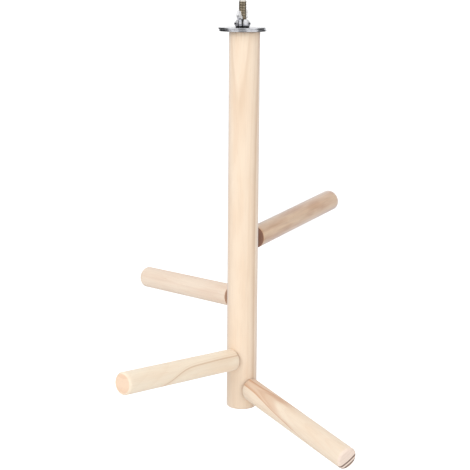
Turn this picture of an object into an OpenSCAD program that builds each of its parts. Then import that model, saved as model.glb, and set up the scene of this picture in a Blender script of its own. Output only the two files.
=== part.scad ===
// A clamp-on bird perch: a round wooden pole with four dowel perches that climb round it,
// hung from a cage or a board by a hanger bolt, two wide washers and a wing nut.
// Millimetres, +Z up along the pole. The origin is on the bolt's axis in the clamp plane,
// where the two washers meet. Seen from -Y, +X is to the right.

/* [Pole] */
// Length of the pole
pole_len = 310; // [220:5:500]
// Diameter of the pole
pole_d = 25; // [20:1:40]
// Eased edge at both ends of the pole
pole_edge = 0.8; // [0.2:0.1:2]
// How far the pole's axis lies to the right of the bolt, whose hole is drilled off centre
pole_shift = 1.75; // [0:0.05:3]

/* [Perches] */
// Diameter of every perch
perch_d = 18; // [12:0.5:24]
// Length of every perch along its axis
perch_len = 124; // [60:1:200]
// Chamfer round the tip of a perch
perch_chamfer = 1.4; // [0.4:0.1:3]
// Eased edge where a perch meets the pole
perch_edge = 0.8; // [0.2:0.1:2]
// Height of each perch's root above the foot of the pole, lowest first
perch_heights = [17.1, 42, 91.8, 141.5]; // [14:0.1:200]
// Compass turn of each perch round the pole, counter-clockwise from +X seen from above
perch_turns = [-52.6, -131.7, 128.7, 56.5]; // [-180:0.1:180]
// Slope of each perch, positive where the tip is higher than the root
perch_slopes = [-11.7, 2.9, -2.8, 6.9]; // [-15:0.1:15]
// How far each perch sits to the left of the pole's centre line, seen from the pole
perch_shifts = [0, 0, 0, -3.3]; // [-5:0.1:5]

/* [Perch screws] */
// Diameter over the wood thread of a double-ended perch screw
screw_d = 5; // [3:0.5:7]
// Length of a double-ended perch screw
screw_len = 40; // [30:1:55]
// How much of a perch screw is in the pole
screw_in_pole = 15; // [10:0.5:17]
// Length of the point at both ends of a perch screw
screw_point = 5; // [2:0.5:8]

/* [Hanger bolt] */
// Diameter of the machine thread that carries the clamp
bolt_d = 6.35; // [5:0.05:8]
// How far the bolt stands out of the pole
bolt_out = 24.6; // [20:0.2:40]
// How deep the bolt goes into the pole
bolt_in = 42; // [30:1:60]
// How far inside the pole the machine thread starts
bolt_collar = 4; // [2:0.5:8]
// Diameter over the wood thread of the bolt
bolt_wood_d = 5.6; // [4:0.1:8]
// Length of the bolt's wood point
bolt_point = 7; // [3:0.5:10]
// Chamfer at the free end of the bolt
bolt_chamfer = 0.9; // [0.3:0.1:1.5]

/* [Washers] */
// Diameter of both washers
washer_d = 38; // [30:1:50]
// Thickness of each washer
washer_t = 1.5; // [1:0.1:2.5]
// Eased rim of a stamped washer
washer_edge = 0.3; // [0.1:0.05:0.45]
// Hole clearance round the bolt, on the radius
washer_gap = 0.45; // [0.35:0.05:0.6]
// How far each loose washer lies to the right of the bolt's axis, lower first
washer_shifts = [0.3, -0.25]; // [-0.3:0.05:0.3]

/* [Wing nut] */
// Span over both wings
nut_span = 31; // [27:1:44]
// Height to the top of the wings
nut_h = 13.5; // [12:0.5:20]
// Height of the nut's body
nut_body_h = 6.4; // [5.6:0.2:8]
// Diameter of the flat seat under the body
nut_seat_d = 11; // [10:0.2:12]
// Diameter of the body at its belly
nut_belly_d = 13.4; // [12.6:0.2:16]
// Diameter of the body at its top
nut_neck_d = 10.4; // [9:0.2:11]
// Radius of the rounded end of a wing
wing_end_r = 3.3; // [2.6:0.1:4]
// Thickness of a wing where it leaves the body
wing_root_t = 2.8; // [2.4:0.2:4]
// Thickness of a wing at its end
wing_end_t = 2; // [1.6:0.2:2.4]
// Height of the belly's widest ring, as a share of the body's height
belly_height_share = 0.46; // [0.4:0.02:0.5]
// Roundness of the belly, as a share of the body's height
belly_round_share = 0.4; // [0.3:0.01:0.44]
// Roundness of the neck's rim, as a share of the body's height
neck_round_share = 0.16; // [0.1:0.01:0.2]
// Half height of a wing's root, as a share of the body's height
root_round_share = 0.46; // [0.4:0.01:0.48]
// Centre and radius of the hollow over a wing's stem, as shares of the wing's reach and end radius
dip_shares = [0.42, 0.92, 1.28]; // [0.4:0.01:1.3]
// Centre and radius of the hollow under a wing, as shares of the wing's reach and end radius
waist_shares = [0.93, 2.05, 1.2]; // [0.8:0.01:2.4]
// Turn of the wings from the +X axis
nut_turn = 75.5; // [-180:0.5:180]
// Thread clearance between the nut and the bolt, on the radius
thread_gap = 0.1; // [0.05:0.01:0.2]

/* [Hidden] */
$fn = 96;

// clearance of every screw in its pilot hole, on the radius
pilot_gap = 0.05;
// how far a cutting tool runs past the face that it cuts
overrun = 1;
// facets of the circles that a wing's outline is blended from
wing_facets = 32;
pole_r = pole_d / 2;
perch_r = perch_d / 2;
bolt_r = bolt_d / 2;
washer_r = washer_d / 2;
pole_top = -washer_t;
pole_foot = pole_top - pole_len;
bolt_top = pole_top + bolt_out;
bolt_foot = pole_top - bolt_in;

pine = [0.97, 0.89, 0.77];
pine_shade = [0.93, 0.83, 0.70];
zinc = [0.72, 0.73, 0.75];
bright_zinc = [0.80, 0.81, 0.83];
steel = [0.55, 0.52, 0.46];

// points of an arc round [cx, cy] from angle a0 to a1
function arc(cx, cy, r, a0, a1, steps) =
    [for (i = [0 : steps]) let (a = a0 + (a1 - a0) * i / steps) [cx + r * cos(a), cy + r * sin(a)]];

// a disc or rod on +Z from 0 to h, with both edges cut back by e
module eased_rod(r, h, e) {
    rotate_extrude()
        polygon([[0, 0], [r - e, 0], [r, e], [r, h - e], [r - e, h], [0, h]]);
}

// a screw along +Z, pointed at both ends, from -back to len - back, grown by gap
module double_screw(len, back, r, point, gap = 0) {
    rotate_extrude()
        polygon([[0, -back - gap], [gap, -back - gap], [r + gap, point - back],
            [r + gap, len - back - point], [gap, len - back + gap], [0, len - back + gap]]);
}

// the frame of perch i: +X points away from the pole, and the origin lies on its surface
module at_root(i) {
    translate([pole_shift, 0, pole_foot + perch_heights[i]])
        rotate([0, 0, perch_turns[i]])
            translate([pole_r, perch_shifts[i], 0])
                children();
}

// the same frame, sloped so that +Z runs along the perch
module along_perch(i) {
    at_root(i) rotate([0, 90 - perch_slopes[i], 0]) children();
}

module perch_screw(i, gap = 0) {
    along_perch(i) double_screw(screw_len, screw_in_pole, screw_d / 2, screw_point, gap);
}

// a dowel with a chamfered tip, cut upright at the root where it meets the pole
module perch(i) {
    // how far the sloped dowel runs back past the upright cut, and how far the cut reaches
    back = perch_r * abs(tan(perch_slopes[i])) + overrun;
    reach = perch_len + perch_r;
    root_r = perch_r - perch_edge;
    difference() {
        intersection() {
            along_perch(i)
                rotate_extrude()
                    polygon([[0, -back], [perch_r, -back], [perch_r, perch_len - perch_chamfer],
                        [perch_r - perch_chamfer, perch_len], [0, perch_len]]);
            // a wide cone gives the cut its eased edge
            at_root(i)
                rotate([0, 90, 0]) cylinder(h = reach, r1 = root_r, r2 = root_r + reach);
        }
        perch_screw(i, pilot_gap);
    }
}

// the outline of the hanger bolt from its point to its free end, grown by gap
module bolt_outline(gap = 0, cut = 0) {
    wood_r = bolt_wood_d / 2;
    shoulder = pole_top - bolt_collar;
    polygon([[0, bolt_foot - gap], [gap, bolt_foot - gap], [wood_r + gap, bolt_foot + bolt_point],
        [wood_r + gap, shoulder - gap], [bolt_r + gap, shoulder - gap],
        [bolt_r + gap, bolt_top - bolt_chamfer + cut], [bolt_r - bolt_chamfer + gap, bolt_top + cut],
        [0, bolt_top + cut]]);
}

module hanger_bolt() {
    color(steel) rotate_extrude() bolt_outline();
}

module pole() {
    color(pine)
        difference() {
            translate([pole_shift, 0, pole_foot]) eased_rod(pole_r, pole_len, pole_edge);
            rotate_extrude() bolt_outline(pilot_gap, overrun);
            for (i = [0 : len(perch_heights) - 1]) perch_screw(i, pilot_gap);
        }
}

// a stamped washer from z = 0 up, with the bolt somewhere in its hole
module washer(shift) {
    translate([shift, 0, 0])
        difference() {
            eased_rod(washer_r, washer_t, washer_edge);
            translate([0, 0, -overrun]) cylinder(h = washer_t + 2 * overrun, r = bolt_r + washer_gap);
        }
}

module lower_washer() {
    color(zinc) translate([0, 0, pole_top]) washer(washer_shifts[0]);
}

module upper_washer() {
    color(bright_zinc) washer(washer_shifts[1]);
}

// the turned body of the wing nut: a flat seat, a round belly and a neck that leans in
module nut_body() {
    seat_r = nut_seat_d / 2;
    belly_round = nut_body_h * belly_round_share;
    neck_round = nut_body_h * neck_round_share;
    rotate_extrude()
        polygon(concat([[0, 0], [seat_r - washer_edge, 0], [seat_r, washer_edge]],
            arc(nut_belly_d / 2 - belly_round, nut_body_h * belly_height_share, belly_round, -48, 22, 8),
            arc(nut_neck_d / 2 - neck_round, nut_body_h - neck_round, neck_round, 25, 90, 4),
            [[0, nut_body_h]]));
}

// one wing, seen from the side: a round end on a stem that sweeps up from the belly
module wing_outline() {
    end_x = nut_span / 2 - wing_end_r;
    end_z = nut_h - wing_end_r;
    root_z = nut_body_h / 2;
    difference() {
        hull() {
            translate([end_x, end_z]) circle(r = wing_end_r, $fn = wing_facets);
            translate([nut_neck_d / 4, root_z])
                circle(r = nut_body_h * root_round_share, $fn = wing_facets);
        }
        translate([end_x * dip_shares[0], end_z + wing_end_r * dip_shares[1]])
            circle(r = wing_end_r * dip_shares[2], $fn = wing_facets);
        translate([end_x * waist_shares[0], end_z - wing_end_r * waist_shares[1]])
            circle(r = wing_end_r * waist_shares[2], $fn = wing_facets);
    }
}

module wing() {
    intersection() {
        rotate([90, 0, 0]) linear_extrude(height = wing_root_t, center = true) wing_outline();
        linear_extrude(height = nut_h)
            polygon([[0, -wing_root_t / 2], [nut_neck_d / 2, -wing_root_t / 2],
                [nut_span / 2, -wing_end_t / 2], [nut_span / 2, wing_end_t / 2],
                [nut_neck_d / 2, wing_root_t / 2], [0, wing_root_t / 2]]);
    }
}

module wing_nut() {
    color(bright_zinc)
        translate([0, 0, washer_t])
            rotate([0, 0, nut_turn])
                difference() {
                    union() {
                        nut_body();
                        wing();
                        rotate([0, 0, 180]) wing();
                    }
                    translate([0, 0, -overrun])
                        cylinder(h = nut_h + 2 * overrun, r = bolt_r + thread_gap);
                }
}

module perch_1() { color(pine) perch(0); }
module perch_2() { color(pine) perch(1); }
module perch_3() { color(pine) perch(2); }
module perch_4() { color(pine_shade) perch(3); }
module perch_screw_1() { color(zinc) perch_screw(0); }
module perch_screw_2() { color(zinc) perch_screw(1); }
module perch_screw_3() { color(zinc) perch_screw(2); }
module perch_screw_4() { color(zinc) perch_screw(3); }

pole();
perch_1();
perch_2();
perch_3();
perch_4();
perch_screw_1();
perch_screw_2();
perch_screw_3();
perch_screw_4();
hanger_bolt();
lower_washer();
upper_washer();
wing_nut();
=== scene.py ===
import math

import bmesh
import bpy
from mathutils import Matrix, Vector


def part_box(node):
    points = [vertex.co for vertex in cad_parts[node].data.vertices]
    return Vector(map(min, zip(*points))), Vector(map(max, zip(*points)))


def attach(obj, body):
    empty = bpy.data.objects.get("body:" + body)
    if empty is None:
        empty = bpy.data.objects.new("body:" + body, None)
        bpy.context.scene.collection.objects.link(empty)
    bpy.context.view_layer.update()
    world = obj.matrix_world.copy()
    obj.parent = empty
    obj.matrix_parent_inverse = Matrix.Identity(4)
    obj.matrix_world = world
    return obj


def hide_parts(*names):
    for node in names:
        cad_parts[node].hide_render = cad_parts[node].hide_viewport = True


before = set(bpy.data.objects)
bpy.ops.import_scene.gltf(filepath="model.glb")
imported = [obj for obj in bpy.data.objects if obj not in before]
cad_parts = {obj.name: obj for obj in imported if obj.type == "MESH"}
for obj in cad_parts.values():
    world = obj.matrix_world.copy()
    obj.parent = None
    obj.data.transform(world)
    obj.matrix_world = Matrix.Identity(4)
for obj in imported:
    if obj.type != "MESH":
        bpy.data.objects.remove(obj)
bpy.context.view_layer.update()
mm = 0.001
fullTurn = 2 * math.pi
flankAngle = math.radians(30)  # half of the angle between a thread's flanks
sameSpot = 0.0005 * mm  # points closer than this count as one
print("frame loaded")


# modelling helpers
def clearSelection():
    bpy.ops.object.select_all(action="DESELECT")


def makeActive(obj):
    clearSelection()
    obj.select_set(True)
    bpy.context.view_layer.objects.active = obj


def startEdit(obj):
    makeActive(obj)
    bpy.ops.object.mode_set(mode="EDIT")
    bpy.ops.mesh.select_mode(type="VERT")
    bpy.ops.mesh.select_all(action="DESELECT")


def endEdit():
    bpy.ops.object.mode_set(mode="OBJECT")


def pick(obj, kind, wanted):  # in edit mode, kind is VERT, EDGE or FACE
    bpy.ops.mesh.select_mode(type=kind)
    bpy.ops.mesh.select_all(action="DESELECT")
    shape = bmesh.from_edit_mesh(obj.data)
    for part in {"VERT": shape.verts, "EDGE": shape.edges, "FACE": shape.faces}[kind]:
        if wanted(part):
            part.select_set(True)
    shape.select_flush_mode()
    bmesh.update_edit_mesh(obj.data)


def modify(obj, kind, **settings):  # adds a modifier and applies it
    makeActive(obj)
    modifier = obj.modifiers.new(kind.lower(), kind)
    for name, value in settings.items():
        setattr(modifier, name, value)
    bpy.ops.object.modifier_apply(modifier=modifier.name)


def carve(obj, tool, operation="DIFFERENCE"):  # boolean with a throw-away tool
    modify(obj, "BOOLEAN", object=tool, operation=operation, solver="EXACT")
    bpy.data.objects.remove(tool)


def tidyNormals(obj):
    startEdit(obj)
    bpy.ops.mesh.select_all(action="SELECT")
    bpy.ops.mesh.remove_doubles(threshold=sameSpot)
    bpy.ops.mesh.normals_make_consistent(inside=False)
    endEdit()


def place(obj, matrix):  # moves a piece and bakes its place into its mesh
    obj.matrix_world = matrix @ obj.matrix_world
    makeActive(obj)
    bpy.ops.object.transform_apply(location=True, rotation=True, scale=True)


def smooth(obj, angle=35):
    makeActive(obj)
    bpy.ops.object.shade_smooth_by_angle(angle=math.radians(angle))


def outline(points):  # an open chain of edges in the XZ plane
    clearSelection()
    bpy.ops.mesh.primitive_plane_add(size=mm)
    obj = bpy.context.object
    startEdit(obj)
    bpy.ops.mesh.select_all(action="SELECT")
    bpy.ops.mesh.merge(type="CENTER")
    at = Vector((0, 0, 0))
    for index, (x, z) in enumerate(points):
        step = Vector((x, 0, z)) - at
        if index == 0:
            bpy.ops.transform.translate(value=step)
        else:
            bpy.ops.mesh.extrude_vertices_move(TRANSFORM_OT_translate={"value": step})
        at = Vector((x, 0, z))
    endEdit()
    return obj


def turned(points, steps):  # an outline turned on the lathe round Z
    obj = outline(points)
    modify(obj, "SCREW", angle=fullTurn, steps=steps, render_steps=steps,
        use_merge_vertices=True, merge_threshold=sameSpot)
    tidyNormals(obj)
    return obj


def arc(centre, radius, start, end, steps):  # points of a rounded corner, angles in degrees
    points = []
    for index in range(steps + 1):
        angle = math.radians(start + (end - start) * index / steps)
        points.append((centre[0] + radius * math.cos(angle), centre[1] + radius * math.sin(angle)))
    return points


# a right-handed screw thread along Z, nowhere wider than the limit at that height
def threaded(crest, root, pitch, low, high, limit, steps=40, crestShare=1 / 8):
    flank = (crest - root) * math.tan(flankAngle)
    crestFlat = pitch * crestShare
    turns = math.ceil((high - low) / pitch) + 2
    foot = low - pitch
    obj = outline([(root, foot), (root, foot + pitch - 2 * flank - crestFlat),
        (crest, foot + pitch - flank - crestFlat), (crest, foot + pitch - flank), (root, foot + pitch)])
    modify(obj, "SCREW", angle=fullTurn, screw_offset=pitch, iterations=turns, steps=steps,
        render_steps=steps, use_merge_vertices=True, merge_threshold=sameSpot)
    startEdit(obj)
    bpy.ops.mesh.select_all(action="SELECT")
    bpy.ops.mesh.remove_doubles(threshold=sameSpot)
    for end, outward in ((high, 1), (low, -1)):
        bpy.ops.mesh.select_all(action="SELECT")
        bpy.ops.mesh.bisect(plane_co=(0, 0, end), plane_no=(0, 0, outward), use_fill=True,
            clear_outer=True, threshold=sameSpot)
    bpy.ops.mesh.select_all(action="SELECT")
    bpy.ops.mesh.normals_make_consistent(inside=False)
    endEdit()
    for vertex in obj.data.vertices:  # the thread runs out where the limit comes in
        radius = math.hypot(vertex.co.x, vertex.co.y)
        most = limit(vertex.co.z)
        if radius > most:
            vertex.co.x *= most / radius
            vertex.co.y *= most / radius
    return obj


def finish(obj, name, body, nodes, material):
    obj.name = name
    obj.data.name = name
    obj.data.materials.clear()
    obj.data.materials.append(material)
    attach(obj, body)
    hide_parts(*nodes)


# node helpers
def colour(red, green, blue):  # a display colour from 0 to 255, as a socket takes it
    values = []
    for part in (red, green, blue):
        share = part / 255
        values.append(share / 12.92 if share <= 0.04045 else ((share + 0.055) / 1.055) ** 2.4)
    return (*values, 1)


def addNode(tree, kind, inputs=None, **settings):
    node = tree.nodes.new("ShaderNode" + kind)
    for name, value in settings.items():
        setattr(node, name, value)
    for key, value in (inputs or {}).items():
        if isinstance(value, bpy.types.NodeSocket):
            tree.links.new(value, node.inputs[key])
        else:
            node.inputs[key].default_value = value
    return node


def calc(tree, operation, first, second=0.0, third=0.0):
    node = addNode(tree, "Math", {0: first, 1: second, 2: third}, operation=operation)
    return node.outputs[0]


def vectorValue(tree, operation, first, second=(0, 0, 0)):  # a number from one or two vectors
    return addNode(tree, "VectorMath", {0: first, 1: second}, operation=operation).outputs["Value"]


def heightOf(tree, vector):
    return addNode(tree, "SeparateXYZ", {0: vector}).outputs["Z"]


def ramp(tree, value, low, high, toLow=0.0, toHigh=1.0):  # a soft step from low to high
    node = addNode(tree, "MapRange", {"Value": value, "From Min": low, "From Max": high,
        "To Min": toLow, "To Max": toHigh}, interpolation_type="SMOOTHSTEP")
    return node.outputs["Result"]


def blendColours(tree, factor, first, second, how="MIX"):
    node = addNode(tree, "Mix", {0: factor, 6: first, 7: second}, data_type="RGBA", blend_type=how)
    return node.outputs[2]


def stretched(tree, vector, x, y, z):  # coordinates times a scale along each axis
    node = addNode(tree, "VectorMath", {0: vector, 1: (x, y, z)}, operation="MULTIPLY")
    return node.outputs[0]


def noise(tree, vector, scale=1.0, detail=2.0, roughness=0.5):
    node = addNode(tree, "TexNoise", {"Vector": vector, "Scale": scale, "Detail": detail,
        "Roughness": roughness})
    return node.outputs["Fac"]


def newGroup(name, inputs, outputs):
    tree = bpy.data.node_groups.new(name, "ShaderNodeTree")
    for label, kind in inputs:
        tree.interface.new_socket(name=label, in_out="INPUT", socket_type="NodeSocket" + kind)
    for label, kind in outputs:
        tree.interface.new_socket(name=label, in_out="OUTPUT", socket_type="NodeSocket" + kind)
    start = tree.nodes.new("NodeGroupInput")
    end = tree.nodes.new("NodeGroupOutput")
    return tree, start, end


def useGroup(tree, group, inputs):
    node = tree.nodes.new("ShaderNodeGroup")
    node.node_tree = group
    for key, value in inputs.items():
        if isinstance(value, bpy.types.NodeSocket):
            tree.links.new(value, node.inputs[key])
        else:
            node.inputs[key].default_value = value
    return node


def newMaterial(name):
    material = bpy.data.materials.new(name)
    material.use_nodes = True
    tree = material.node_tree
    tree.nodes.clear()
    shader = tree.nodes.new("ShaderNodeBsdfPrincipled")
    out = tree.nodes.new("ShaderNodeOutputMaterial")
    tree.links.new(shader.outputs[0], out.inputs[0])
    return material, tree, shader


# what all the pine shares: how often each noise repeats per millimetre, across and along the stick,
# then where each mask starts and ends, and the amounts
pine = {
    "slow": (1 / 14, 1 / 60),
    "quick": (1 / 2.5, 1 / 25),
    "drift": (1 / 9, 1 / 45),
    "fibre": (2.4, 0.045),
    "speck": (1.7, 0.11),
    "streakShade": (1.1, 0.02),
    "shiver": 0.5,
    "lateRise": (0.3, 0.93),
    "latePower": 2.2,
    "lateFall": (0.955, 1.0),
    "fleckRange": (0.70, 0.78),
    "driftRange": (0.35, 0.68),
    "fibreRange": (0.3, 0.7),
    "streakShadeRange": (0.46, 0.66),
    "underTop": (-11, -0.5),
    "overFoot": (20, 52),
    "footShade": 0.09,
    "endFacing": (0.35, 0.85),
    "underTip": (-2.3, -1.6),
    "tipAmount": 0.75,
    "rootReach": (20, 30),
    "lineFade": 16,
    "patchFade": 25,
    "poreLevel": 0.9,
    "fibreRough": 0.16,
    "lateHeight": -0.3,
    "fibreHeight": 0.5,
    "bump": 0.25,
    "bumpDepth": 0.12 * mm,
    "specular": 0.2,
    "sheenRough": 0.35,
}


def grainNoise(tree, spot, kind, detail, roughness=0.5):
    across, along = pine[kind]
    return noise(tree, stretched(tree, spot, across, across, along), detail=detail, roughness=roughness)


# growth rings, fibres and flecks of pine, in millimetres, with Z along the stick
def makePineGrain():
    tree, start, end = newGroup("pineGrain",
        [("Vector", "Vector"), ("Pith", "Vector"), ("Lean", "Vector"), ("Knee", "Float"),
            ("Knee Width", "Float"), ("Ring Width", "Float"), ("Wander", "Float")],
        [("Ring", "Float"), ("Late", "Float"), ("Drift", "Float"), ("Fibre", "Float"),
            ("Fleck", "Float")])
    spot = start.outputs["Vector"]
    along = heightOf(tree, spot)
    # the rings run straight up to the knee and lean past it
    past = calc(tree, "SUBTRACT", along, start.outputs["Knee"])
    square = calc(tree, "MULTIPLY_ADD", past, past,
        calc(tree, "POWER", start.outputs["Knee Width"], 2.0))
    bend = calc(tree, "MULTIPLY", calc(tree, "ADD", calc(tree, "SQRT", square), past), 0.5)
    leaned = addNode(tree, "VectorMath", {0: start.outputs["Lean"], "Scale": bend},
        operation="SCALE").outputs[0]
    centred = addNode(tree, "VectorMath", {0: spot, 1: start.outputs["Pith"]},
        operation="SUBTRACT").outputs[0]
    fromPith = addNode(tree, "VectorMath", {0: centred, 1: leaned}, operation="SUBTRACT").outputs[0]
    radius = vectorValue(tree, "LENGTH", stretched(tree, fromPith, 1, 1, 0))
    slow = grainNoise(tree, spot, "slow", 1.0)
    quick = grainNoise(tree, spot, "quick", 2.0)
    sway = calc(tree, "MULTIPLY", calc(tree, "SUBTRACT", slow, 0.5),
        calc(tree, "MULTIPLY", start.outputs["Wander"], 2))
    shiver = calc(tree, "MULTIPLY", calc(tree, "SUBTRACT", quick, 0.5), pine["shiver"])
    ring = calc(tree, "ADD", calc(tree, "ADD", radius, sway), shiver)
    tree.links.new(ring, end.inputs["Ring"])
    phase = calc(tree, "FRACT", calc(tree, "DIVIDE", ring, start.outputs["Ring Width"]))
    rise = calc(tree, "POWER", ramp(tree, phase, *pine["lateRise"]), pine["latePower"])
    late = calc(tree, "MULTIPLY", rise, ramp(tree, phase, *pine["lateFall"], 1.0, 0.0))
    tree.links.new(late, end.inputs["Late"])
    tree.links.new(grainNoise(tree, spot, "drift", 3.0), end.inputs["Drift"])
    tree.links.new(grainNoise(tree, spot, "fibre", 5.0, 0.6), end.inputs["Fibre"])
    speck = grainNoise(tree, spot, "speck", 1.0)
    tree.links.new(ramp(tree, speck, *pine["fleckRange"]), end.inputs["Fleck"])
    return tree


pineGrain = makePineGrain()


# one bold growth line: soft toward the pith, sharp on its outer side
def makeGrowthLine():
    tree, start, end = newGroup("growthLine",
        [("Ring", "Float"), ("At", "Float"), ("Width", "Float"), ("Edge", "Float")],
        [("Mask", "Float")])
    past = calc(tree, "SUBTRACT", start.outputs["Ring"], start.outputs["At"])
    inside = calc(tree, "DIVIDE", past, start.outputs["Width"])
    outside = calc(tree, "DIVIDE", past, start.outputs["Edge"])
    rise = ramp(tree, inside, -1.0, 0.0)
    fall = ramp(tree, outside, 0.0, 1.0, 1.0, 0.0)
    tree.links.new(calc(tree, "MULTIPLY", rise, fall), end.inputs["Mask"])
    return tree


growthLine = makeGrowthLine()


def pineMaterial(name, look, matrix):  # matrix places the stick, and the pattern with it
    material, tree, shader = newMaterial(name)
    coords = tree.nodes.new("ShaderNodeTexCoord")
    spot = addNode(tree, "Mapping", {"Vector": coords.outputs["Object"],
        "Location": matrix.translation, "Rotation": matrix.to_euler(), "Scale": (mm, mm, mm)},
        vector_type="TEXTURE").outputs[0]
    along = heightOf(tree, spot)
    # the pith lies far off on the inner side, so the rings are nearly flat in the stick
    outward = Vector((*look["outward"], 0)).normalized()
    grain = useGroup(tree, pineGrain, {"Vector": spot, "Pith": outward * -look["pithAway"],
        "Lean": outward * look["lean"], "Knee": look["knee"], "Knee Width": look["kneeWidth"],
        "Ring Width": look["ringWidth"], "Wander": look["wander"]})
    axis = matrix.to_3x3() @ Vector((0, 0, 1))
    facing = vectorValue(tree, "DOT_PRODUCT", coords.outputs["Normal"], axis)
    endMask = ramp(tree, calc(tree, "ABSOLUTE", facing), *look.get("endFacing", pine["endFacing"]))
    if "tip" in look:  # the end grain shows on the rounded edge too
        low, high = pine["underTip"]
        nearTip = ramp(tree, along, look["tip"] + low, look["tip"] + high, 0.0, pine["tipAmount"])
        endMask = calc(tree, "MAXIMUM", endMask, nearTip)
    drift = ramp(tree, grain.outputs["Drift"], *pine["driftRange"])
    tone = blendColours(tree, drift, look["early"], look["blush"])
    endTone = look["end"]
    lateAmount = calc(tree, "MULTIPLY", grain.outputs["Late"], look["lateStrength"])
    tone = blendColours(tree, lateAmount, tone, look["late"])
    endAmount = calc(tree, "MULTIPLY", grain.outputs["Late"], look["endRing"])
    endTone = blendColours(tree, endAmount, endTone, look["endLate"])
    for at, width, edge, strength, endStrength, until in look["lines"]:
        line = useGroup(tree, growthLine, {"Ring": grain.outputs["Ring"], "At": look["pithAway"] + at,
            "Width": width, "Edge": edge}).outputs["Mask"]
        reach = ramp(tree, along, until - pine["lineFade"], until, strength, 0.0)
        tone = blendColours(tree, calc(tree, "MULTIPLY", line, reach), tone, look["boldGrainAndShade"])
        endLine = calc(tree, "MULTIPLY", line, endStrength)
        endTone = blendColours(tree, endLine, endTone, look["endBold"])
    if "patch" in look:  # a tan patch on one side, near the root
        toward, low, high, until, strength = look["patch"]
        side = vectorValue(tree, "DOT_PRODUCT", spot, (*toward, 0))
        reach = ramp(tree, along, until - pine["patchFade"], until, strength, 0.0)
        patch = calc(tree, "MULTIPLY", ramp(tree, side, low, high), reach)
        tone = blendColours(tree, patch, tone, look["boldGrainAndShade"])
    streak = ramp(tree, grain.outputs["Fibre"], *pine["fibreRange"], 1 - look["streak"], 1.0)
    tone = blendColours(tree, 1.0, tone, streak, "MULTIPLY")
    fleckAmount = calc(tree, "MULTIPLY", grain.outputs["Fleck"], look["fleck"])
    tone = blendColours(tree, fleckAmount, tone, look["late"])
    if "top" in look:  # short dark streaks hang down from the washer: painted shade under the washer, in streaks along the fibres
        low, high = pine["underTop"]
        reach = ramp(tree, along, look["top"] + low, look["top"] + high)
        streaks = ramp(tree, grainNoise(tree, spot, "streakShade", 2.0), *pine["streakShadeRange"])
        streakShade = calc(tree, "MULTIPLY", streaks, reach)
        tone = blendColours(tree, calc(tree, "MULTIPLY", streakShade, look["streakShade"]), tone, look["late"])
    if "foot" in look:  # painted shade near the foot, where the lowest perches shade the pole
        low, high = pine["overFoot"]
        nearFoot = ramp(tree, along, look["foot"] + low, look["foot"] + high, pine["footShade"], 0.0)
        tone = blendColours(tree, nearFoot, tone, look["boldGrainAndShade"])
    pores = ramp(tree, grain.outputs["Fibre"], *pine["fibreRange"], pine["poreLevel"], 1.0)
    endTone = blendColours(tree, 1.0, endTone, pores, "MULTIPLY")
    if "rootEndShade" in look:  # painted shade: the root's end grain, in the gap against the pole, is darker than the tip's
        nearRoot = ramp(tree, along, *pine["rootReach"], 1.0, 0.0)
        endTone = blendColours(tree, nearRoot, endTone, look["rootEndShade"])
    skin = blendColours(tree, endMask, tone, endTone)
    tree.links.new(skin, shader.inputs["Base Color"])
    rough = calc(tree, "MULTIPLY_ADD", grain.outputs["Fibre"], pine["fibreRough"], look["rough"])
    tree.links.new(rough, shader.inputs["Roughness"])
    height = calc(tree, "MULTIPLY_ADD", grain.outputs["Late"], pine["lateHeight"],
        calc(tree, "MULTIPLY", grain.outputs["Fibre"], pine["fibreHeight"]))
    bump = addNode(tree, "Bump", {"Strength": pine["bump"], "Distance": pine["bumpDepth"],
        "Height": height})
    tree.links.new(bump.outputs[0], shader.inputs["Normal"])
    shader.inputs["Specular IOR Level"].default_value = pine["specular"]
    shader.inputs["Sheen Weight"].default_value = look["sheen"]  # the fuzz of bare wood
    shader.inputs["Sheen Roughness"].default_value = look.get("sheenRough", pine["sheenRough"])
    shader.inputs["Sheen Tint"].default_value = look["sheenTint"]
    return material


# what all the steel shares: how often each noise repeats per millimetre, then ranges and amounts
plate = {
    "smudge": 0.35,
    "hair": (0.6, 7.0, 2.0),
    "grit": 4.0,
    "gritAmount": 0.4,
    "toneRange": (0.4, 0.65),
    "roughRange": (0.35, 0.7),
    "bumpDepth": 0.05 * mm,
}


# fine scratches, smudges and pits of plated steel, in millimetres
def makePlateWear():
    tree, start, end = newGroup("plateWear",
        [("Vector", "Vector"), ("Scratch", "Float")],
        [("Smudge", "Float"), ("Height", "Float")])
    spot = start.outputs["Vector"]
    smudge = noise(tree, spot, scale=plate["smudge"], detail=4.0, roughness=0.6)
    tree.links.new(smudge, end.inputs["Smudge"])
    hair = noise(tree, stretched(tree, spot, *plate["hair"]), detail=3.0)
    grit = noise(tree, spot, scale=plate["grit"], detail=2.0)
    scratches = calc(tree, "MULTIPLY", hair, start.outputs["Scratch"])
    pits = calc(tree, "MULTIPLY", grit, plate["gritAmount"])
    tree.links.new(calc(tree, "ADD", scratches, pits), end.inputs["Height"])
    return tree


plateWear = makePlateWear()


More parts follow.
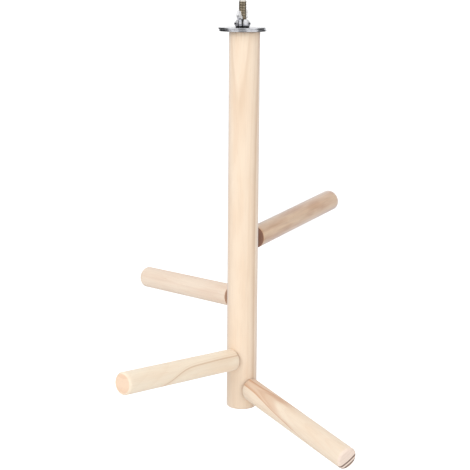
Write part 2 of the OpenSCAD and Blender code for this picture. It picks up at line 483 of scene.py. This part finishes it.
def metalMaterial(name, look):
    material, tree, shader = newMaterial(name)
    coords = tree.nodes.new("ShaderNodeTexCoord")
    spot = stretched(tree, coords.outputs["Object"], 1 / mm, 1 / mm, 1 / mm)
    wear = useGroup(tree, plateWear, {"Vector": spot, "Scratch": look["scratch"]}).outputs
    dullness = ramp(tree, wear["Smudge"], *plate["toneRange"])
    tone = blendColours(tree, dullness, look["clean"], look["dull"])
    if "threadRootDark" in look:  # darker in the roots of a thread, by the distance from the axis
        radius = vectorValue(tree, "LENGTH", stretched(tree, spot, 1, 1, 0))
        depth = ramp(tree, radius, *look["threadRootReach"], 1.0, 0.0)
        tone = blendColours(tree, depth, tone, look["threadRootDark"])
    if "seatShade" in look:  # painted shade near the seat of the nut, by height over its lowest point
        over = calc(tree, "SUBTRACT", heightOf(tree, spot), look["seat"])
        low = ramp(tree, over, *look["seatShadeReach"], 1.0, 0.0)
        tone = blendColours(tree, low, tone, look["seatShade"])
        # and painted shade in the corners beside the wings' stems
        across = calc(tree, "ABSOLUTE", vectorValue(tree, "DOT_PRODUCT", spot, look["across"]))
        off = calc(tree, "ABSOLUTE", calc(tree, "SUBTRACT", across, look["creaseAt"]))
        line = ramp(tree, off, *look["creaseWidth"], 1.0, 0.0)
        creaseShade = calc(tree, "MULTIPLY", line, ramp(tree, over, *look["creaseReach"], 1.0, 0.0))
        tone = blendColours(tree, calc(tree, "MULTIPLY", creaseShade, look["creaseShade"]), tone, look["seatShade"])
    if "bright" in look:  # lighter above some height
        high = ramp(tree, heightOf(tree, spot), *look["brightReach"])
        tone = blendColours(tree, high, tone, look["bright"])
    tree.links.new(tone, shader.inputs["Base Color"])
    rough = ramp(tree, wear["Smudge"], *plate["roughRange"], look["smoothest"], look["roughest"])
    tree.links.new(rough, shader.inputs["Roughness"])
    bump = addNode(tree, "Bump", {"Strength": look["bump"], "Distance": plate["bumpDepth"],
        "Height": wear["Height"]})
    tree.links.new(bump.outputs[0], shader.inputs["Normal"])
    shader.inputs["Metallic"].default_value = 1.0
    return material


# what the pole and the perches share: the eased edges, and rings of faces in the flat ends
stick = {
    "highBevel": {"segments": 5, "profile": 0.34},
    "lowBevel": {"segments": 4, "profile": 0.4},
    "insets": (0.08, 0.3, 0.3),
    "manyCorners": 8,
}


# a round stick along Z, cut to length, with eased ends
def makeStick(radius, low, high, lowEdge, highEdge, rings, sides, cut=None):
    clearSelection()
    bpy.ops.mesh.primitive_cylinder_add(vertices=sides, radius=radius, depth=high - low,
        location=(0, 0, (high + low) / 2), end_fill_type="NGON")
    obj = bpy.context.object
    bpy.ops.object.transform_apply(location=True)
    startEdit(obj)
    cutNormal = cut or Vector((0, 0, 1))
    cutPoint = Vector((0, 0, 0 if cut else low))
    if cut:  # sawn upright, where the stick meets the round pole
        bpy.ops.mesh.select_all(action="SELECT")
        bpy.ops.mesh.bisect(plane_co=cutPoint, plane_no=cutNormal, use_fill=True,
            clear_inner=True, threshold=sameSpot)

    def nearCut(vertex):
        return abs((vertex.co - cutPoint).dot(cutNormal)) < 2 * sameSpot

    def nearTip(vertex):
        return vertex.co.z > high - 2 * sameSpot

    pick(obj, "EDGE", lambda edge: all(nearTip(v) for v in edge.verts))
    bpy.ops.mesh.bevel(offset=highEdge, **stick["highBevel"])
    pick(obj, "EDGE", lambda edge: all(nearCut(v) for v in edge.verts))
    bpy.ops.mesh.bevel(offset=lowEdge, **stick["lowBevel"])
    many = stick["manyCorners"]
    for wanted in (nearTip, nearCut):  # rings of faces on both flat ends
        pick(obj, "FACE", lambda face: len(face.verts) > many and all(wanted(v) for v in face.verts))
        for share in stick["insets"]:
            bpy.ops.mesh.inset(thickness=radius * share)
        bpy.ops.mesh.poke()
    length = high - low
    pick(obj, "EDGE", lambda edge: abs(edge.verts[0].co.z - edge.verts[1].co.z) > length / 2)
    bpy.ops.mesh.subdivide(number_cuts=rings)
    endEdit()
    return obj


def unevenness(obj, name, size, depth):  # hand-sanded wood is never quite round
    texture = bpy.data.textures.new(name, "CLOUDS")
    texture.noise_scale = size
    modify(obj, "DISPLACE", texture=texture, strength=-depth, mid_level=0.0, texture_coords="LOCAL")


# each of a look's lines gives its ring, counted from the stick's axis, the widths of its soft and
# its sharp side, its strength on the side and on the end, and where along the stick it ends
always = 999  # past the end of every stick


# the pole
pole = {
    "sides": 128,
    "topEdge": 0.8 * mm,
    "footEdge": 1.5 * mm,
    "rings": 90,
    "unevenSize": 30 * mm,
    "unevenDepth": 0.08 * mm,
    "boltHoleRadius": 3.22 * mm,
    "boltHoleDepth": 42 * mm,
    "boltHoleTip": 0.4,
    "boltHoleTaper": 7 * mm,
    "boltHoleSides": 48,
    "look": {"outward": (-0.32, -0.947), "pithAway": 60, "lean": -0.042, "knee": -100,
        "kneeWidth": 25, "ringWidth": 4.144, "wander": 0.35,
        "early": colour(248, 227, 203), "blush": colour(244, 220, 194),
        "late": colour(214, 176, 136), "lateStrength": 0.10, "boldGrainAndShade": colour(196, 156, 118),
        # the first line shows on the pole's right side: a growth line, and painted shade of that side as
        # well
        "lines": [(5.6, 1.1, 3.6, 0.38, 0.3, always), (14.6, 2.0, 0.3, 0.12, 0.3, always)],
        "streak": 0.05, "fleck": 0.2, "rough": 0.38, "streakShade": 0.3,
        "sheen": 0.75, "sheenRough": 0.45, "sheenTint": colour(236, 241, 255),
        "end": colour(228, 196, 160), "endRing": 0.5, "endLate": colour(176, 128, 88),
        "endBold": colour(160, 110, 80)},
}
poleLow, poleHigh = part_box("pole")
poleRadius = (poleHigh.x - poleLow.x) / 2
poleAxis = Matrix.Translation(((poleHigh.x + poleLow.x) / 2, 0, 0))  # the bolt's hole is off centre


# the perches
perch = {
    "radius": 9 * mm,
    "length": 124 * mm,
    "sides": 96,
    "tipEdge": 1.6 * mm,
    "rings": 40,
    "unevenSize": 22 * mm,
    "unevenDepth": 0.04 * mm,
}

# height above the foot of the pole, turn from +X and slope in degrees, and shift to the left
perchSpots = {
    "perch_1": {"height": 17.1 * mm, "turn": -52.6, "slope": -11.7, "shift": 0, "rootEdge": 0.8 * mm,
        "look": {"outward": (0.837, 0.547), "pithAway": 45, "lean": 0.128, "knee": 19, "kneeWidth": 9,
            "ringWidth": 3.2, "wander": 0.15, "tip": perch["length"] / mm,
            "early": colour(246, 229, 208), "blush": colour(242, 222, 199),
            "late": colour(206, 150, 106), "lateStrength": 0.06,
            "lines": [(-8.3, 3.0, 0.3, 0.36, 0.0, 75), (-8.3, 0.8, 0.25, 0.5, 0.0, always),
                (-7.6, 1.6, 0.8, 0.0, 1.0, always), (-9.6, 0.7, 0.3, 0.25, 0.0, 50),
                (-11.0, 1.2, 2.6, 0.3, 0.0, 54), (-10.8, 1.6, 0.8, 0.0, 1.0, always)],
            "patch": ((-0.985, 0.174), 7.4, 8.5, 66, 0.34), "boldGrainAndShade": colour(200, 142, 98),
            "streak": 0.05, "fleck": 0.3, "rough": 0.38,
            "sheen": 0.12, "sheenTint": colour(226, 224, 228),
            "end": colour(252, 232, 217), "endRing": 0.1, "endLate": colour(190, 140, 112),
            "endBold": colour(84, 44, 36), "rootEndShade": colour(168, 132, 98)}},
    "perch_2": {"height": 42 * mm, "turn": -131.7, "slope": 2.9, "shift": 0, "rootEdge": 0.7 * mm,
        "look": {"outward": (1, 0), "pithAway": 60, "lean": 0.57, "knee": 65, "kneeWidth": 11,
            "ringWidth": 11, "wander": 0.1,
            "early": colour(252, 237, 215), "blush": colour(249, 230, 206),
            "late": colour(214, 170, 126), "lateStrength": 0.05, "boldGrainAndShade": colour(198, 150, 104),
            "lines": [(-4.8, 1.3, 0.6, 0.46, 0.0, always), (-4.8, 0.6, 4.5, 0.16, 0.0, always),
                (-6.5, 0.8, 0.4, 0.14, 0.0, always)],
            "streak": 0.04, "fleck": 0.2, "rough": 0.38,
            "sheen": 0.3, "sheenTint": colour(240, 242, 248),
            "endFacing": (0.82, 0.97), "rootEndShade": colour(172, 138, 104),
            "end": colour(253, 223, 196), "endRing": 0.2, "endLate": colour(226, 176, 138),
            "endBold": colour(200, 140, 100)}},
    "perch_3": {"height": 91.8 * mm, "turn": 128.7, "slope": -2.8, "shift": 0, "rootEdge": 0.25 * mm,
        "look": {"outward": (-0.97, 0.24), "pithAway": 70, "lean": 0.01, "knee": -400, "kneeWidth": 1,
            "ringWidth": 4.4, "wander": 0.8,
            "early": colour(246, 228, 209), "blush": colour(241, 219, 199),
            "late": colour(204, 160, 132), "lateStrength": 0.09, "lines": [],
            "streak": 0.06, "fleck": 0.3, "rough": 0.4,
            "sheen": 0.12, "sheenTint": colour(224, 224, 230),
            "end": colour(236, 212, 190), "endRing": 0.5, "endLate": colour(196, 150, 118),
            "rootEndShade": colour(204, 174, 154)}},
    "perch_4": {"height": 141.5 * mm, "turn": 56.5, "slope": 6.9, "shift": -3.3 * mm,
        "rootEdge": 0.3 * mm,
        "look": {"outward": (0.7, 0.7), "pithAway": 50, "lean": 0.02, "knee": -400, "kneeWidth": 1,
            "ringWidth": 4.8, "wander": 1.0,
            "early": colour(229, 195, 157), "blush": colour(203, 156, 111),
            "late": colour(184, 138, 110), "lateStrength": 0.12, "lines": [],
            "streak": 0.16, "fleck": 0.6, "rough": 0.42,
            "sheen": 1.0, "sheenRough": 0.55, "sheenTint": colour(242, 246, 255),
            "end": colour(232, 206, 182), "endRing": 0.5, "endLate": colour(190, 142, 110),
            "rootEndShade": colour(150, 108, 84)}},
}


def perchMatrix(spot):  # from a stick along +Z to its place on the pole
    turn = Matrix.Rotation(math.radians(spot["turn"]), 4, "Z")
    out = Matrix.Translation((poleRadius, spot["shift"], poleLow.z + spot["height"]))
    tip = Matrix.Rotation(math.radians(90 - spot["slope"]), 4, "Y")
    return poleAxis @ turn @ out @ tip


# the double-ended screws inside the perches
perchScrew = {
    "radius": 2.5 * mm,
    "root": 1.75 * mm,
    "pitch": 2.2 * mm,
    "length": 40 * mm,
    "inPole": 15 * mm,
    "point": 5 * mm,
    "tip": 0.12 * mm,
    "shank": 1.9 * mm,
    "shankHalf": 2 * mm,
    "steps": 24,
    "pilotGap": 0.05 * mm,
    "pilotSides": 32,
}


def pilotTool(matrix):  # the hole that a perch screw sits in
    radius = perchScrew["radius"] + perchScrew["pilotGap"]
    low = -perchScrew["inPole"]
    high = low + perchScrew["length"]
    gap = perchScrew["pilotGap"]
    tool = turned([(0, low - gap), (gap, low - gap), (radius, low + perchScrew["point"]),
        (radius, high - perchScrew["point"]), (gap, high + gap), (0, high + gap)],
        perchScrew["pilotSides"])
    place(tool, matrix)
    return tool


def makePole():
    obj = makeStick(poleRadius, poleLow.z, poleHigh.z, pole["footEdge"], pole["topEdge"], pole["rings"],
        pole["sides"])
    unevenness(obj, "poleUneven", pole["unevenSize"], pole["unevenDepth"])
    place(obj, poleAxis)
    top = poleHigh.z
    bottom = top - pole["boltHoleDepth"]
    hole = pole["boltHoleRadius"]
    boltHole = turned([(0, bottom), (hole * pole["boltHoleTip"], bottom),
        (hole, bottom + pole["boltHoleTaper"]), (hole, top + mm), (0, top + mm)], pole["boltHoleSides"])
    carve(obj, boltHole)
    for spot in perchSpots.values():
        carve(obj, pilotTool(perchMatrix(spot)))
    smooth(obj)
    finish(obj, "pinePole", "stand", ["pole"],
        pineMaterial("polePine", dict(pole["look"], top=poleHigh.z / mm, foot=poleLow.z / mm), poleAxis))


makePole()
print("pole made")


def makePerch(node, spot):
    matrix = perchMatrix(spot)
    cut = (Matrix.Rotation(math.radians(spot["slope"] - 90), 4, "Y") @ Vector((1, 0, 0))).normalized()
    back = perch["radius"] * abs(math.tan(math.radians(spot["slope"]))) + mm
    obj = makeStick(perch["radius"], -back, perch["length"], spot["rootEdge"], perch["tipEdge"],
        perch["rings"], perch["sides"], cut)
    unevenness(obj, node + "Uneven", perch["unevenSize"], perch["unevenDepth"])
    place(obj, matrix)
    carve(obj, pilotTool(matrix))
    smooth(obj)
    finish(obj, node.replace("perch_", "pinePerch"), "stand", [node],
        pineMaterial(node.replace("perch_", "perchPine"), spot["look"], matrix))


for node, spot in perchSpots.items():
    makePerch(node, spot)
print("perches made")


screwMetal = metalMaterial("screwZinc", {"clean": colour(196, 198, 204), "dull": colour(168, 170, 174),
    "smoothest": 0.22, "roughest": 0.4, "scratch": 0.3, "bump": 0.3})


def makePerchScrew(node, spot):
    low = -perchScrew["inPole"]
    high = low + perchScrew["length"]

    def limit(z):  # pointed at both ends, plain in the middle
        toEnd = min(z - low, high - z)
        growth = (perchScrew["radius"] - perchScrew["tip"]) * toEnd / perchScrew["point"]
        taper = perchScrew["tip"] + growth
        plain = perchScrew["shank"] if abs(z) < perchScrew["shankHalf"] else perchScrew["radius"]
        return min(taper, plain)

    obj = threaded(perchScrew["radius"], perchScrew["root"], perchScrew["pitch"], low, high, limit,
        perchScrew["steps"])
    place(obj, perchMatrix(spot))
    smooth(obj)
    finish(obj, node.replace("perch_screw_", "perchScrew"), "stand", [node], screwMetal)


for index, spot in enumerate(perchSpots.values()):
    makePerchScrew("perch_screw_" + str(index + 1), spot)
print("perch screws made")


# the hanger bolt: quarter-inch machine thread above, wood thread below
bolt = {
    "crest": 3.175 * mm,
    "root": 2.75 * mm,
    "crestShare": 0.32,
    "pitch": 1.27 * mm,
    "chamfer": 0.9 * mm,
    "shoulder": 5.5 * mm,
    "woodCrest": 2.8 * mm,
    "woodRoot": 2.0 * mm,
    "woodPitch": 2.2 * mm,
    "point": 7 * mm,
    "tip": 0.12 * mm,
    "brightUnderTop": (-1.7, -0.9),
    "look": {"clean": colour(230, 216, 190), "dull": colour(188, 174, 152), "smoothest": 0.25,
        "roughest": 0.42, "scratch": 0.2, "bump": 0.3, "threadRootDark": colour(112, 99, 80),
        "threadRootReach": (2.7, 3.05), "bright": colour(240, 236, 228)},
}


def makeBolt():
    low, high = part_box("hanger_bolt")
    shoulder = -bolt["shoulder"]
    machine = threaded(bolt["crest"], bolt["root"], bolt["pitch"], shoulder, high.z,
        lambda z: bolt["crest"] - max(0, z - high.z + bolt["chamfer"]), crestShare=bolt["crestShare"])
    wood = threaded(bolt["woodCrest"], bolt["woodRoot"], bolt["woodPitch"], low.z, shoulder + mm,
        lambda z: bolt["tip"] + (bolt["woodCrest"] - bolt["tip"]) * (z - low.z) / bolt["point"])
    carve(machine, wood, "UNION")
    smooth(machine)
    look = dict(bolt["look"], brightReach=[high.z / mm + edge for edge in bolt["brightUnderTop"]])
    finish(machine, "hangerBolt", "stand", ["hanger_bolt"],
        metalMaterial("boltSteel", look))


makeBolt()
print("bolt made")


# the two stamped washers
washer = {
    "hole": 3.625 * mm,
    "rollEdge": 0.25 * mm,
    "burrEdge": 0.2 * mm,
    "steps": 160,
    "burrSteps": 3,
    "rollSteps": 6,
    "look": {"clean": colour(222, 223, 228), "dull": colour(208, 208, 212), "smoothest": 0.12,
        "roughest": 0.3, "scratch": 0.5, "bump": 0.25},
}


def makeWasher(node, name, body):
    low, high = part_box(node)
    rim = (high.x - low.x) / 2
    roll = washer["rollEdge"]
    burr = washer["burrEdge"]
    hole = washer["hole"]
    points = arc((rim - burr, low.z + burr), burr, -90, 0, washer["burrSteps"])
    points += arc((rim - roll, high.z - roll), roll, 0, 90, washer["rollSteps"])
    points += arc((hole + burr, high.z - burr), burr, 90, 180, washer["burrSteps"])
    points += arc((hole + burr, low.z + burr), burr, 180, 270, washer["burrSteps"])
    points.append(points[0])
    obj = turned(points, washer["steps"])
    place(obj, Matrix.Translation(((high.x + low.x) / 2, 0, 0)))
    smooth(obj)
    finish(obj, name, body, [node], washerZinc)


washerZinc = metalMaterial("washerZinc", washer["look"])
makeWasher("lower_washer", "lowerWasher", "stand")
makeWasher("upper_washer", "upperWasher", "clamp_washer")
print("washers made")


# the wing nut, softened like a casting from the solid's own shape
wingNut = {
    "voxel": 0.2 * mm,
    "soften": {"factor": 0.5, "iterations": 6},
    "smoothAngle": 60,
    "turn": 75.5,
    "brightOverSeat": (6.5, 9),
    "look": {"clean": colour(236, 236, 239), "dull": colour(204, 204, 208), "smoothest": 0.12,
        "roughest": 0.32, "scratch": 0.25, "bump": 0.5, "seatShade": colour(52, 51, 50),
        "seatShadeReach": (0.7, 2.3), "creaseShade": 0.95, "creaseAt": 1.75, "creaseWidth": (0.32, 0.8),
        "creaseReach": (6.4, 8.0), "bright": colour(244, 244, 246)},
}


def makeWingNut():
    makeActive(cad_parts["wing_nut"])
    bpy.ops.object.duplicate()
    obj = bpy.context.object
    for key in list(obj.keys()):  # the copy drops what the frame wrote on the solid
        del obj[key]
    obj.parent = None
    tidyNormals(obj)
    modify(obj, "REMESH", mode="VOXEL", voxel_size=wingNut["voxel"], adaptivity=0.0)
    modify(obj, "SMOOTH", **wingNut["soften"])
    smooth(obj, wingNut["smoothAngle"])
    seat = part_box("wing_nut")[0].z / mm
    turn = math.radians(wingNut["turn"])
    look = dict(wingNut["look"], seat=seat, across=(-math.sin(turn), math.cos(turn), 0),
        brightReach=[seat + edge for edge in wingNut["brightOverSeat"]])
    finish(obj, "wingNut", "nut", ["wing_nut"], metalMaterial("nutZinc", look))


makeWingNut()
print("wing nut made")


# camera, floor and light
view = {
    "eye": (1.75 * mm, -1130.7 * mm, 48.9 * mm),
    "yaw": -0.904,
    "pitch": -10.566,
    "roll": 0.331,
    "lens": 107.9,
    "sensor": 36,
    "shift": (0.02967, -0.01216),
    "farthest": 100,
}


def makeCamera():
    data = bpy.data.cameras.new("studioCamera")
    data.lens = view["lens"]
    data.sensor_width = view["sensor"]
    data.shift_x, data.shift_y = view["shift"]
    data.clip_end = view["farthest"]
    camera = bpy.data.objects.new("studioCamera", data)
    bpy.context.scene.collection.objects.link(camera)
    yaw, pitch, roll = (math.radians(view[key]) for key in ("yaw", "pitch", "roll"))
    forward = Vector((math.sin(yaw) * math.cos(pitch), math.cos(yaw) * math.cos(pitch), math.sin(pitch)))
    right = Vector((math.cos(yaw), -math.sin(yaw), 0))
    up = right.cross(forward)
    across = math.cos(roll) * right + math.sin(roll) * up
    upright = -math.sin(roll) * right + math.cos(roll) * up
    turn = Matrix((across, upright, -forward)).transposed()
    camera.matrix_world = Matrix.Translation(view["eye"]) @ turn.to_4x4()
    bpy.context.scene.camera = camera


makeCamera()

white = (1, 1, 1, 1)

# angles are in degrees from the front, heights are shares of a direction's length
studio = {
    "floorZ": -0.62,
    "floorSize": 60,
    "floorGlow": 0.5,
    "floorColour": (0.9, 0.9, 0.9, 1),
    "floorRough": 0.9,
    "ambient": 0.735,
    "leftFlag": (70, 154),
    "rightFlag": (76, 142),
    "flagSoft": (5, 6),
    "flagLevel": 0.08,
    "flagTop": (0.14, 0.28),
    "frontFlag": (12, 28),
    "frontLevel": 0.35,
    "tallFlag": (96, 129),
    "tallSoft": (4, 5),
    "tallLevel": 0.22,
    "tallTop": (0.55, 0.7),
    "belowReach": (-0.34, -0.2),
    "belowLevel": 0.4,
    "aim": (0, 0, -0.15),
    "key": {"at": (-1.35, -1.6, 0.9), "size": 1.4, "power": 16.5},
    "fill": {"at": (1.3, -1.9, 0.1), "size": 1.4, "power": 7.5},
    "top": {"at": (0.1, 0.5, 2.0), "size": 1.6, "power": 4},
}


def makeLamp(name, look):
    data = bpy.data.lights.new(name, "AREA")
    data.shape = "DISK"
    data.size = look["size"]
    data.energy = look["power"]
    lamp = bpy.data.objects.new(name, data)
    bpy.context.scene.collection.objects.link(lamp)
    lamp.location = look["at"]
    aim = Vector(studio["aim"]) - Vector(look["at"])
    lamp.rotation_euler = aim.to_track_quat("-Z", "Y").to_euler()
    lamp.visible_glossy = False  # the metal mirrors the light made below


for name in ("key", "fill", "top"):
    makeLamp(name + "Light", studio[name])


def band(tree, value, low, high, lowSoft, highSoft):  # 1 from low to high, with soft edges
    rise = ramp(tree, value, low - lowSoft, low + lowSoft)
    return calc(tree, "MULTIPLY", rise, ramp(tree, value, high - highSoft, high + highSoft, 1.0, 0.0))


def dimmed(tree, level, mask, least):  # the level times least where the mask is 1
    return calc(tree, "MULTIPLY", level, ramp(tree, mask, 0.0, 1.0, 1.0, least))


# what the metal mirrors, by direction: white light with low dark flags at the sides, a low grey one
# in front, and grey from below
def makeMirrorLight():
    tree, start, end = newGroup("mirrorLight", [("Direction", "Vector")], [("Level", "Float")])
    parts = addNode(tree, "SeparateXYZ", {0: start.outputs["Direction"]})
    toFront = calc(tree, "MULTIPLY", parts.outputs["Y"], -1.0)
    azimuth = calc(tree, "DEGREES", calc(tree, "ARCTAN2", parts.outputs["X"], toFront))
    left = calc(tree, "MULTIPLY", azimuth, -1.0)
    around = calc(tree, "ABSOLUTE", azimuth)
    height = parts.outputs["Z"]
    level = 1.0
    for side, flag in ((left, "leftFlag"), (azimuth, "rightFlag")):
        mask = band(tree, side, *studio[flag], *studio["flagSoft"])
        level = dimmed(tree, level, mask, studio["flagLevel"])
    front = ramp(tree, around, *studio["frontFlag"], studio["frontLevel"], 1.0)
    level = calc(tree, "MULTIPLY", level, front)
    level = calc(tree, "MAXIMUM", level, ramp(tree, height, *studio["flagTop"]))
    # narrow grey flags reach higher, so that the leaning sides of the nut have an outline
    tall = band(tree, around, *studio["tallFlag"], *studio["tallSoft"])
    tall = calc(tree, "MULTIPLY", tall, ramp(tree, height, *studio["tallTop"], 1.0, 0.0))
    level = dimmed(tree, level, tall, studio["tallLevel"])
    below = ramp(tree, height, *studio["belowReach"], 1.0, 0.0)
    lower = calc(tree, "MULTIPLY", calc(tree, "SUBTRACT", studio["belowLevel"], level), below)
    tree.links.new(calc(tree, "ADD", level, lower), end.inputs["Level"])
    return tree


mirrorLight = makeMirrorLight()


def makeFloor():
    clearSelection()
    bpy.ops.mesh.primitive_plane_add(size=studio["floorSize"], location=(0, 0, studio["floorZ"]))
    floor = bpy.context.object
    floor.name = "studioFloor"
    bpy.ops.object.transform_apply(location=True)
    material, tree, shader = newMaterial("floorWhite")
    shader.inputs["Base Color"].default_value = studio["floorColour"]
    shader.inputs["Roughness"].default_value = studio["floorRough"]
    shader.inputs["Specular IOR Level"].default_value = 0.0
    shader.inputs["Emission Color"].default_value = white
    path = tree.nodes.new("ShaderNodeLightPath")
    glow = calc(tree, "MULTIPLY", path.outputs["Is Camera Ray"], studio["floorGlow"])
    tree.links.new(glow, shader.inputs["Emission Strength"])
    passing = tree.nodes.new("ShaderNodeBsdfTransparent")  # mirrored rays go on to the world's light
    both = addNode(tree, "MixShader", {0: path.outputs["Is Glossy Ray"], 1: shader.outputs[0],
        2: passing.outputs[0]})
    out = tree.nodes["Material Output"]
    tree.links.new(both.outputs[0], out.inputs[0])
    floor.data.materials.append(material)


makeFloor()


def makeWorld():
    world = bpy.data.worlds.new("studioWorld")
    bpy.context.scene.world = world
    world.use_nodes = True
    tree = world.node_tree
    tree.nodes.clear()
    out = tree.nodes.new("ShaderNodeOutputWorld")
    path = tree.nodes.new("ShaderNodeLightPath")
    seen = calc(tree, "MAXIMUM", path.outputs["Is Camera Ray"], path.outputs["Is Transmission Ray"])
    light = addNode(tree, "Background", {"Color": white, "Strength": studio["ambient"]})
    backdrop = addNode(tree, "Background", {"Color": white, "Strength": 1.0})
    direction = tree.nodes.new("ShaderNodeTexCoord").outputs["Generated"]
    level = useGroup(tree, mirrorLight, {"Direction": direction}).outputs["Level"]
    gloss = addNode(tree, "Background", {"Color": white, "Strength": level})
    first = addNode(tree, "MixShader", {0: seen, 1: light.outputs[0], 2: backdrop.outputs[0]})
    second = addNode(tree, "MixShader", {0: path.outputs["Is Glossy Ray"], 1: first.outputs[0],
        2: gloss.outputs[0]})
    tree.links.new(second.outputs[0], out.inputs[0])


makeWorld()
bpy.context.scene.view_settings.view_transform = "Standard"
print("studio made")
